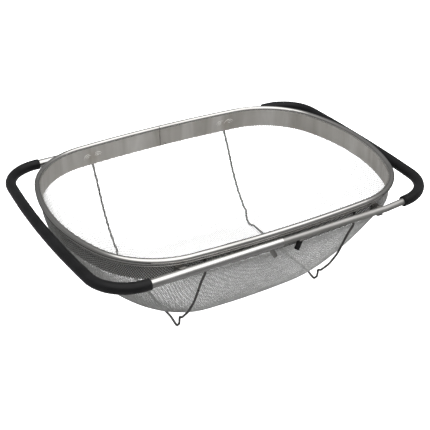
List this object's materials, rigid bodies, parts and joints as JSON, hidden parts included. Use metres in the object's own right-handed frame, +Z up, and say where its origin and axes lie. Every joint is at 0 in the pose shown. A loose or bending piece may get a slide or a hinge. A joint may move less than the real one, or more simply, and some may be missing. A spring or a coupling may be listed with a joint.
{
  "type": "over-sink mesh strainer",
  "caption": "Oval wire-mesh bowl on wire feet, with a rolled steel rim and pull-out U-shaped handles whose rubber grips rest on a sink's edges.",
  "frame": {"origin": "centre of the footprint, on the surface that the wire feet stand on", "axes": "+X along the basket towards the thin handle, +Y across it, +Z up out of the bowl"},
  "size_m": [0.3697, 0.2614, 0.117],
  "materials": {
    "rim_steel": "satin rolled stainless steel, bright along the bead",
    "hoop_steel": "drawn stainless wire",
    "weld_steel": "dull spot weld marks",
    "woven_mesh": "fine plain-woven stainless wire cloth",
    "leg_wire": "dull drawn stainless wire",
    "handle_tube": "polished stainless tube",
    "handle_rod": "polished stainless tube",
    "guide_steel": "satin stainless strap",
    "stop_steel": "satin stainless",
    "grip_rubber": "matte black soft sleeve",
    "cap_rubber": "matte black",
    "glide_nylon": "natural nylon"
  },
  "bodies": {
    "basket": {"rim_band": "rim_steel", "mesh_retaining_hoop": "hoop_steel", "rim_seam_weld": "weld_steel", "mesh_basket": "woven_mesh", "leg_wire_left": "leg_wire", "leg_wire_right": "leg_wire", "leg_weld_left_near": "weld_steel", "leg_weld_left_far": "weld_steel", "leg_weld_right_near": "weld_steel", "leg_weld_right_far": "weld_steel", "left_guide_near": "guide_steel", "left_guide_far": "guide_steel", "right_guide_near": "guide_steel", "right_guide_far": "guide_steel"},
    "left_handle": {"left_handle_tube": "handle_tube", "left_grip": "grip_rubber", "tube_stop_near": "stop_steel", "tube_stop_far": "stop_steel"},
    "right_handle": {"right_handle_rod": "handle_rod", "right_grip": "grip_rubber", "rod_glide_near": "glide_nylon", "rod_glide_far": "glide_nylon", "rod_stop_pin_near": "stop_steel", "rod_stop_pin_far": "stop_steel", "stop_cap_near": "cap_rubber", "stop_cap_far": "cap_rubber"}
  },
  "joints": [
    {"name": "left_handle_slide", "type": "slide", "parent": "basket", "child": "left_handle", "axis": [-1, 0, 0], "range_m": [0, 0.052]},
    {"name": "right_handle_slide", "type": "slide", "parent": "basket", "child": "right_handle", "axis": [1, 0, 0], "range_m": [0, 0.052]}
  ]
}
